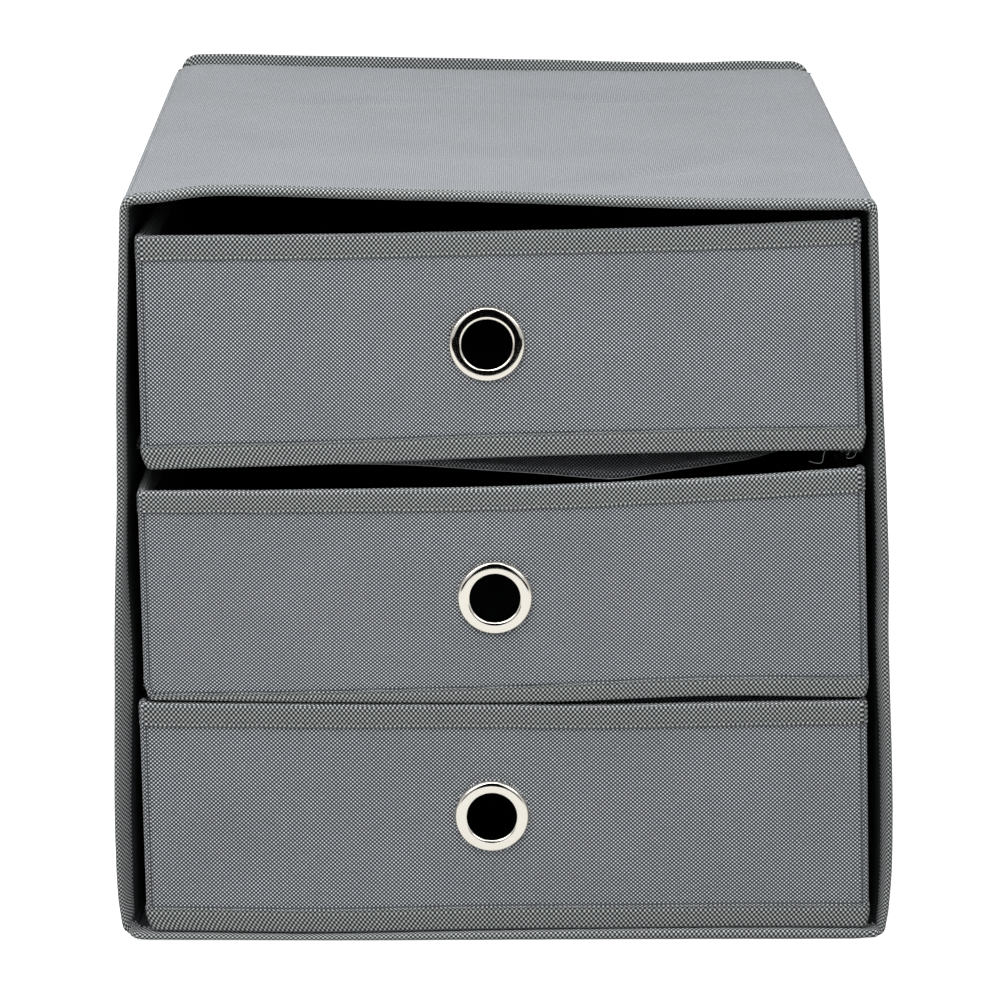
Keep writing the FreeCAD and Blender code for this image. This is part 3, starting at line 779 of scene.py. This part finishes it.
def back_tapes():
    """The tape laid flat over the back's seams, down both sides and along the foot."""
    inner = HALF - TAPE - TAPE_WIDTH
    for name, low, high in (
        ("back_tape_left", (-159.4, 0.6), (-inner, 314.0)),
        ("back_tape_right", (inner, 0.6), (159.4, 314.0)),
        ("back_tape_foot", (-inner, 0.6), (inner, 10.1)),
    ):
        upright = high[1] - low[1] > 20
        inner_edge = (-inner if low[0] < 0 else inner) if upright else high[1]

        def lay(u, v, above=0.0, upright=upright, inner_edge=inner_edge):
            across = abs((u if upright else v) - inner_edge)
            puff = 0.25 * math.sin(math.pi * min(across / TAPE_WIDTH, 1))
            # the upper ends are drawn in to the fin
            u *= 1 - 0.02 * max(0.0, (v - 302) / 12) ** 2
            return case_shape(u, 159.3 + puff - pulled_in(across, 3 * TAPE_WIDTH) + above, v)

        fine, coarse = 0.7, 5.0
        cloth(
            name, lines(low[0], high[0], fine if upright else coarse),
            lines(low[1], high[1], coarse if upright else fine), lay, TAPE_CLOTH, "case",
            ["case_back_binding"],
        )
        inward = math.copysign(STITCH_LINE, inner_edge) if upright else -STITCH_LINE

        def line(s, low=low, upright=upright, row=inner_edge + inward, lay=lay):
            return lay(row, low[1] + 2 + s, TAPE / 2) if upright else lay(low[0] + 2 + s, row, TAPE / 2)

        run = (high[1] - low[1] if upright else high[0] - low[0]) - 4
        stitches(name + "_stitches", [(run, line)], "case")


def case_tapes():
    # the tape of the sides and the top ends over the foot's tape at both bottom corners
    mouth_tape("mouth_tape", 3.2, 946.6, 0.0, (4.5, 4.0))
    mouth_tape("mouth_tape_foot", 938.0, 1267.5, 0.45, (0.0, 0.0))
    seam_fin()
    back_tapes()


SHELF_EDGES = {
    # how far the front of a shelf hangs down, and how far it is drawn back, along its width
    "lower": (
        ((-156, 0.0), (156, 0.0)),
        ((-156, 20), (-149, 16), (-138, 0), (138, 0), (149, 16), (156, 20)),
    ),
    "upper": (
        (
            (-156, 0.0), (-100, 0.1), (-42, 0.6), (8, 4.2), (40, 6.9), (47, 7.2), (55, 6.6), (83, 2.6),
            (108, -0.8), (125, -2.4), (156, -2.4),
        ),
        ((-156, 22), (-149, 18), (-138, 0), (100, 0), (116, 8), (128, 20), (156, 24)),
    ),
}


def shelves():
    """Each shelf is a board in a sleeve of Oxford cloth. The upper sleeve is too deep for its board,
    and its empty front edge hangs in a V."""
    for name, top in (("lower", 102.6), ("upper", 208.4)):
        lip, drawn_back = SHELF_EDGES[name]
        empty = SHELF_FRONT + 26

        def shape(x, y, z, lip=lip, drawn_back=drawn_back, top=top, empty=empty):
            in_front = 1 - ease(y, SHELF_FRONT, empty)
            hang = through(x, *lip) * (1 - ease(y, SHELF_FRONT, SHELF_FRONT + 16))
            if hang < 0:
                hang *= min((top - z) / 2.7, 1)
            fold = 0.8 * max(hang, 0) / 9 * math.sin(x / 9)
            return case_shape(x, y + fold + through(x, *drawn_back) * in_front, z - hang)

        low, high = top - 2.7, top - 0.3
        front, rear = SHELF_FRONT + 0.3, 155.6
        sleeve = Route([(front, low), (front, high), (rear, high), (rear, low)], 1.1, closed=True)

        def lay(u, v, sleeve=sleeve, shape=shape, above=0.0):
            point, outward = sleeve.at(u)
            return shape(v, point.x + above * outward.x, point.y + above * outward.y)

        fine_run = 30.0
        lip_zones = (0, fine_run, 1.2), (sleeve.length - fine_run, sleeve.length, 1.2)
        cloth(
            f"{name}_shelf_cloth", lines(0, sleeve.length, 6.0, *lip_zones),
            lines(-155.4, 155.4, 4.0), lay, OXFORD_CLOTH, "case", [f"{name}_shelf_cover"],
        )
        # a pale strip along the lower front edge paints the highlight on the sleeve's fold
        cloth(
            f"{name}_shelf_hem_highlight", lines(0.0, 0.9, 0.3), lines(-150, 150, 3.0),
            lambda u, v, lay=lay: lay(u, v, above=0.4), HEM_HIGHLIGHT_STRIP, "case",
        )
        board_front = SHELF_FRONT + (17 if name == "upper" else 1.5)
        bent_board(
            f"{name}_shelf_board",
            lambda x, y, z, shape=shape, front=board_front: shape(x, max(y, front), z), "case", 154.0,
        )


# ---------------------------------------------------------------- the drawers

SEAM_X = 146.9
SEAM_GAP, SEAM_BEND, SEAM_TURN_IN = 0.4, 0.7, 1.7


def turned_in(beyond):
    """Where a cloth goes at a seam, past the start of its bend: how far along and how far in."""
    if beyond <= 0:
        return beyond, 0.0
    angle = min(beyond / SEAM_BEND, math.pi / 2)
    straight = beyond - SEAM_BEND * angle
    return SEAM_BEND * math.sin(angle), SEAM_BEND * (1 - math.cos(angle)) + straight


def loop_of_walls(inset, radius):
    """The line of a drawer layer in plan, inset from the outside, from the middle of the back."""
    side = DRAWER_HALF - inset
    front, back = DRAWER_FRONT + inset, DRAWER_FRONT + DRAWER_DEPTH - inset
    corners = [(0, back), (side, back), (side, front), (-side, front), (-side, back)]
    return Route(corners, [0.01, radius, radius, radius, radius], closed=True)


def wall_lines(route, step):
    """Mesh lines along a loop of walls, close together at its four corners."""
    width = 2 * max(abs(p.x) for p in route.points)
    depth = max(p.y for p in route.points) - min(p.y for p in route.points)
    turns, at = [], width / 2
    for side in (depth, width, depth, width):
        turns.append((at - 7, at + 4, 0.8))
        at += side - 1.2
    return lines(0, route.length, step, *turns)


# how much of its hem tape a front shows, along its width: one hem is rolled under to the left
HEM_SHOWN = {
    "lower_drawer": ((0, 1.0), (1, 1.0)),
    "middle_drawer": ((-143, 0.2), (-78, 0.43), (32, 0.8), (91, 0.8), (148, 0.87)),
    "upper_drawer": ((0, 1.0), (1, 1.0)),
}
HEM_BEND = 0.8
HEM_RISE = TAPE_WIDTH - HEM_BEND - TAPE / 2


def drawer_cloths(drawer, shape):
    base = DRAWERS[drawer]
    foot, crown = base + TAPE, base + DRAWER_HEIGHT - TAPE
    height = crown - foot
    skin = TAPE + OXFORD / 2
    hole = (EYELET_X, base + DRAWER_HEIGHT / 2)
    bend = SEAM_GAP + SEAM_BEND

    def lay_front(u, v):
        along, inward = turned_in(abs(u) - (SEAM_X - bend))
        x = math.copysign(SEAM_X - bend + along, u)
        # the hem tape's upper edge bites into the cloth
        edge = base + TAPE + HEM_BEND + HEM_RISE * through(u, *HEM_SHOWN[drawer])
        inward += 0.55 * math.exp(-(((v - edge) / 0.4) ** 2))
        # the clinched eyelet pinches the cloth in all round
        inward += 0.42 * math.exp(-(((math.hypot(u - hole[0], v - hole[1]) - 16.3) / 0.8) ** 2))
        return shape(x, DRAWER_FRONT + skin + inward, v)

    reach = SEAM_X - bend + SEAM_TURN_IN
    seams = (-reach, 3 - reach, 0.2), (reach - 3, reach, 0.2)
    round_eyelet = [(at - 19, at + 19, 0.7) for at in hole]
    cloth(
        f"{drawer}_front_cloth", lines(-reach, reach, 2.6, *seams, round_eyelet[0]),
        lines(foot, crown, 2.6, (foot + 1.5, foot + 11, 0.3), round_eyelet[1]), lay_front,
        OXFORD_CLOTH, drawer, [f"{drawer}_front_fabric"], hole=(hole, 12.5),
    )

    side, front = DRAWER_HALF - skin, DRAWER_FRONT + skin
    back = DRAWER_FRONT + DRAWER_DEPTH - skin
    first = SEAM_X + bend
    left_half = [(-first, front), (-side, front), (-side, back)]
    wrap = Route([*left_half, (side, back), (side, front), (first, front)], 1.4)

    def lay_body(u, v):
        point, _ = wrap.at(u)
        along, inward = turned_in(max(-u, u - wrap.length, 0.0))
        return shape(point.x - math.copysign(along, point.x), point.y + inward, foot + v)

    ends = (-SEAM_TURN_IN, 5, 0.2), (wrap.length - 5, wrap.length + SEAM_TURN_IN, 0.2)
    depth_run = back - front
    backs = [(a - 4, a + 5, 0.9) for a in (depth_run, depth_run + 2 * side - 2)]
    cloth(
        f"{drawer}_body_cloth",
        lines(-SEAM_TURN_IN, wrap.length + SEAM_TURN_IN, 6.0, *ends, *backs),
        lines(0, height, 3.0), lay_body, OXFORD_CLOTH, drawer, [f"{drawer}_body_fabric"],
    )

    def flat(z):
        return lambda u, v: shape(u, v, z)

    cloth(
        f"{drawer}_base_cloth", lines(-147.8, 147.8, 10.0), lines(-155.8, 145.8, 10.0),
        flat(base + TAPE + OXFORD / 2), OXFORD_CLOTH, drawer, [f"{drawer}_base_fabric"],
    )

    inner = loop_of_walls(TAPE + OXFORD + BOARD + LINING / 2, 1.2)
    floor = base + TAPE + WALL - LINING / 2
    middle_of_front = inner.length / 2 - EYELET_X

    def lay_lining(u, v):
        point, _ = inner.at(u)
        return shape(point.x, point.y, v)

    cloth(
        f"{drawer}_lining_walls", wall_lines(inner, 4.0), lines(floor, crown, 3.0), lay_lining,
        LINING_CLOTH, drawer, [f"{drawer}_lining"], hole=((middle_of_front, hole[1]), 12.0),
    )
    cloth(
        f"{drawer}_lining_floor", lines(-146.4, 146.4, 8.0), lines(-153.3, 144.3, 8.0),
        flat(floor + 0.1), LINING_CLOTH, drawer, [f"{drawer}_lining"],
    )
    for board in ("front", "left", "right", "back", "base"):
        # the cloth rounds the corners at the ends of the front board and the back board
        widest = 145.4 if board in ("front", "back") else HALF
        bent_board(f"{drawer}_{board}_board", shape, drawer, widest)


def rim_tape(drawer, shape):
    """The tape folded over the rim of all four walls."""
    half_gap = FOLD / 2 - TAPE / 2
    rim = loop_of_walls(FOLD / 2, 0.9)
    crest = DRAWERS[drawer] + DRAWER_HEIGHT - TAPE / 2
    across = tape_lines(folded_width(half_gap, TAPE_WIDTH, TAPE_WIDTH))
    width = across[-1]

    def lay(u, v, above=0.0):
        point, outward = rim.at(v)
        offset, back = folded_over(half_gap, TAPE_WIDTH, u)
        raised = (above - pulled_in(u, width)) * (1 if offset > 0 else -1)
        squeeze = 1 + 0.05 * waver(v, 0, 0, 18, crest)
        at = point + outward * (offset * squeeze + raised)
        droop = 0.18 * waver(v, 0, 0, 22, crest + 3)
        return shape(at.x, at.y, crest - back * (1 + 0.03 * waver(v, 0, 0, 9, crest)) + droop)

    cloth(
        f"{drawer}_rim_tape", across, wall_lines(rim, 3.2), lay, TAPE_CLOTH, drawer,
        [f"{drawer}_rim_binding"],
    )
    edge_stitches(f"{drawer}_rim_stitches", lay, width, 0.0, rim.length, drawer)


def hem_tape(drawer, shape):
    """The tape over the bottom edge: up the walls and in under the base."""
    outer = loop_of_walls(TAPE / 2, 2.0)
    under = loop_of_walls(TAPE_WIDTH, 0.6)
    base = DRAWERS[drawer]
    arc = HEM_BEND * math.pi / 2
    width = 2 * HEM_RISE + arc

    def lay(u, v, above=0.0):
        point, outward = outer.at(v)
        below, _ = under.at(v * under.length / outer.length)
        z = base + TAPE / 2
        shown = HEM_RISE
        if point.y < DRAWER_FRONT + 4:
            shown *= through(point.x, *HEM_SHOWN[drawer])
        if u < shown:
            at = point + outward * (above - pulled_in(u, 3 * TAPE_WIDTH))
            return shape(at.x, at.y, z + HEM_BEND + shown - u)
        if u < shown + arc:
            angle = (u - shown) / HEM_BEND
            at = point - outward * HEM_BEND * (1 - math.cos(angle))
            return shape(at.x, at.y, z + HEM_BEND * (1 - math.sin(angle)))
        start = point - outward * HEM_BEND
        at = start.lerp(below, (u - shown - arc) / (width - shown - arc))
        return shape(at.x, at.y, z)

    across = lines(0, width, 0.8, (0, HEM_RISE + arc + 0.2, 0.4))
    cloth(
        f"{drawer}_hem_tape", across, wall_lines(outer, 3.2), lay, TAPE_CLOTH, drawer,
        [f"{drawer}_base_binding"],
    )
    row = (outer.length, lambda s: lay(STITCH_LINE, s, TAPE / 2))
    stitches(f"{drawer}_hem_stitches", [row], drawer)


# Closed outlines, by the radius and how far back from the front cloth. The eyelet is a broad flange
# with a rolled edge, and a barrel that is rolled out over the washer behind.
EYELET_OUTLINE = (
    (10.3, 3.2), (10.3, -0.3), (10.32, -0.62), (10.42, -0.98), (10.58, -1.3), (10.8, -1.55),
    (11.08, -1.72), (11.4, -1.82), (11.75, -1.84), (12.7, -1.84), (13.6, -1.81), (13.95, -1.77),
    (14.35, -1.69), (14.75, -1.56), (15.0, -1.42), (15.2, -1.22), (15.38, -0.96), (15.58, -0.6),
    (15.82, -0.1), (16.0, 0.3), (15.7, 0.4), (15.1, -0.5), (13.6, -1.1),
    (11.8, -1.3), (11.0, -1.0),
    (10.85, 0.2), (10.85, 3.2), (11.3, 3.75), (12.6, 3.75), (12.6, 4.2), (11.0, 4.2), (10.5, 3.9),
)
WASHER_OUTLINE = ((11.1, 3.15), (16.0, 3.15), (16.0, 3.7), (11.1, 3.7))


def nickel_ring(name, node_name, outline, steps, drawer, shape):
    """A ring spun from its outline about the middle of the eyelet."""
    middle = Vector(shape(EYELET_X, DRAWER_FRONT + TAPE, DRAWERS[drawer] + DRAWER_HEIGHT / 2))
    bm = bmesh.new()
    rim = [bm.verts.new(middle + Vector((radius, back, 0))) for radius, back in outline]
    edges = [bm.edges.new(pair) for pair in zip(rim, [*rim[1:], rim[0]])]
    bmesh.ops.spin(
        bm, geom=[*rim, *edges], cent=middle, axis=(0, 1, 0), angle=2 * math.pi, steps=steps,
        use_merge=True,
    )
    bmesh.ops.remove_doubles(bm, verts=bm.verts, dist=0.001)
    bmesh.ops.recalc_face_normals(bm, faces=bm.faces)
    finish_piece(bm, name, NICKEL, drawer, [node_name])


# for each loose end: where it starts, its length, how often it swings, and how far
LOOSE_THREADS = {
    "curled": (133.5, 22.0, 0.55, 3.4),
    "hanging": (146.5, 13.0, 0.9, 1.4),
    "short": (143.5, 8.0, 0.4, 1.2),
}


def loose_threads():
    """Cut ends of sewing thread that hang in curls from the hem of the upper drawer."""
    hem, hem_front = DRAWERS["upper_drawer"] + 5.2, -156.2
    for name, (x, length, turns, reach) in LOOSE_THREADS.items():

        def line(s, x=x, length=length, turns=turns, reach=reach):
            share = s / length
            swing = math.sin(2 * math.pi * turns * share)
            droop = (length / 4) * math.sin(2.2 * share)
            return x + reach * swing * share - 0.25 * s, hem_front + 0.5 * swing, hem - droop

        thread = f"upper_drawer_{name}_thread"
        stitches(thread, [(length, line)], "upper_drawer", pitch=0.7, gap=-0.4, thick=0.11)


def drawers():
    for drawer in DRAWERS:
        shape = drawer_shape(drawer)
        drawer_cloths(drawer, shape)
        rim_tape(drawer, shape)
        hem_tape(drawer, shape)
        for kind, node_name, outline, steps in (
            ("eyelet", f"{drawer}_eyelet", EYELET_OUTLINE, 96),
            ("washer", f"{drawer}_eyelet_washer", WASHER_OUTLINE, 64),
        ):
            nickel_ring(f"{drawer}_nickel_{kind}", node_name, outline, steps, drawer, shape)
    loose_threads()


# ---------------------------------------------------------------- studio

LENS, SENSOR = 143.3, 36.0
CAMERA_PLACE = (-0.6, -1745.0, 623.0)
# how far the camera looks down, and how far it is rolled, in degrees
CAMERA_DOWN, CAMERA_ROLL = 15.135, -0.15


def camera_and_light():
    scene = bpy.context.scene
    camera = bpy.data.objects.new("camera", bpy.data.cameras.new("camera"))
    camera.data.lens = LENS
    camera.data.sensor_width = SENSOR
    down = Matrix.Rotation(math.radians(90 - CAMERA_DOWN), 4, "X")
    tilt = down @ Matrix.Rotation(math.radians(CAMERA_ROLL), 4, "Z")
    camera.matrix_world = Matrix.Translation(Vector(CAMERA_PLACE) * MM) @ tilt
    scene.collection.objects.link(camera)
    scene.camera = camera

    for name, place, aim, size, power in (
        ("sky_softbox", (-0.25, -0.55, 1.9), (0, -0.02, 0.2), 1.5, 33.0),
        ("left_softbox", (-0.75, -0.8, 0.95), (0, -0.1, 0.2), 0.8, 6.4),
        ("right_softbox", (0.75, -0.8, 0.95), (0, -0.1, 0.2), 0.8, 5.7),
    ):
        lamp = bpy.data.lights.new(name, "AREA")
        lamp.shape = "SQUARE"
        lamp.size = size
        lamp.energy = power
        box = bpy.data.objects.new(name, lamp)
        box.location = place
        box.rotation_euler = (Vector(aim) - Vector(place)).to_track_quat("-Z", "Y").to_euler()
        scene.collection.objects.link(box)

    # a white room, which lights the cloth far less than the camera and the metal see it
    world = bpy.data.worlds.new("studio")
    scene.world = world
    world.use_nodes = True
    world.node_tree.nodes.clear()
    rays = node(world, "LightPath").outputs
    seen = node(world, "Math", {0: rays["Is Camera Ray"], 1: rays["Is Glossy Ray"]}, operation="MAXIMUM")
    level = node(world, "MapRange", {"Value": seen.outputs[0]}, To_Min=0.21, To_Max=1.0)
    room = node(world, "Background", {"Strength": level.outputs[0]})
    node(world, "OutputWorld", {"Surface": room.outputs[0]})
    scene.view_settings.view_transform = "Standard"


def studio_card(name, material, half_sides, place, segments=1):
    """A flat card of the studio, which isn't part of the object."""
    bm = bmesh.new()
    bmesh.ops.create_grid(bm, x_segments=segments, y_segments=segments, size=1.0)
    bmesh.ops.scale(bm, vec=(*half_sides, 1), verts=bm.verts)
    bmesh.ops.transform(bm, matrix=place, verts=bm.verts)
    mesh = bpy.data.meshes.new(name)
    bm.to_mesh(mesh)
    bm.free()
    mesh.materials.append(material)
    card = bpy.data.objects.new(name, mesh)
    bpy.context.scene.collection.objects.link(card)
    return card


def studio_floor():
    """A plain white floor. What the camera sees of it is white but for the object's shadow."""
    paper = bpy.data.materials.new("white paper floor")
    paper.use_nodes = True
    paper.node_tree.nodes.clear()
    matt = node(paper, "BsdfDiffuse", Color=linear("#B8B8B6"))
    rays = node(paper, "LightPath").outputs
    seen = node(paper, "Math", {0: rays["Is Camera Ray"]}, operation="MULTIPLY")
    seen.inputs[1].default_value = 0.92
    glow_level = node(
        paper, "Math", {0: rays["Is Glossy Ray"], 2: seen.outputs[0]}, operation="MULTIPLY_ADD"
    )
    glow_level.inputs[1].default_value = 0.5
    glow = node(paper, "Emission", {"Strength": glow_level.outputs[0]}, Color=(1, 1, 1, 1))
    both = node(paper, "AddShader", {0: matt.outputs[0], 1: glow.outputs[0]})
    node(paper, "OutputMaterial", {"Surface": both.outputs[0]})
    studio_card("studio_floor", paper, (6.0, 6.0), Matrix.Translation((0, 0, -0.0002)), 4)


def black_flags():
    """Black cards that only the metal sees. They give its curves the dark streaks of a studio."""
    black, shader = new_material("black card", Roughness=0.9, Specular_IOR_Level=0.0)
    shader.inputs["Base Color"].default_value = linear("#0A0A0A")
    upright = Matrix.Rotation(math.pi / 2, 4, "X")
    for name, place, turn, half_sides in (
        ("low_flag", (0, -0.96, 0.07), upright, (0.62, 0.075)),
        ("front_flag", (0, -0.98, 0.6), upright, (0.24, 0.6)),
        ("top_flag", (0, -0.78, 1.2), Matrix.Identity(4), (0.24, 0.2)),
    ):
        card = studio_card(name, black, half_sides, Matrix.Translation(place) @ turn)
        card.visible_camera = card.visible_diffuse = card.visible_shadow = False
        card.visible_transmission = card.visible_volume_scatter = False


camera_and_light()
studio_floor()
black_flags()
case_cloths()
case_tapes()
shelves()
drawers()
case_boards()
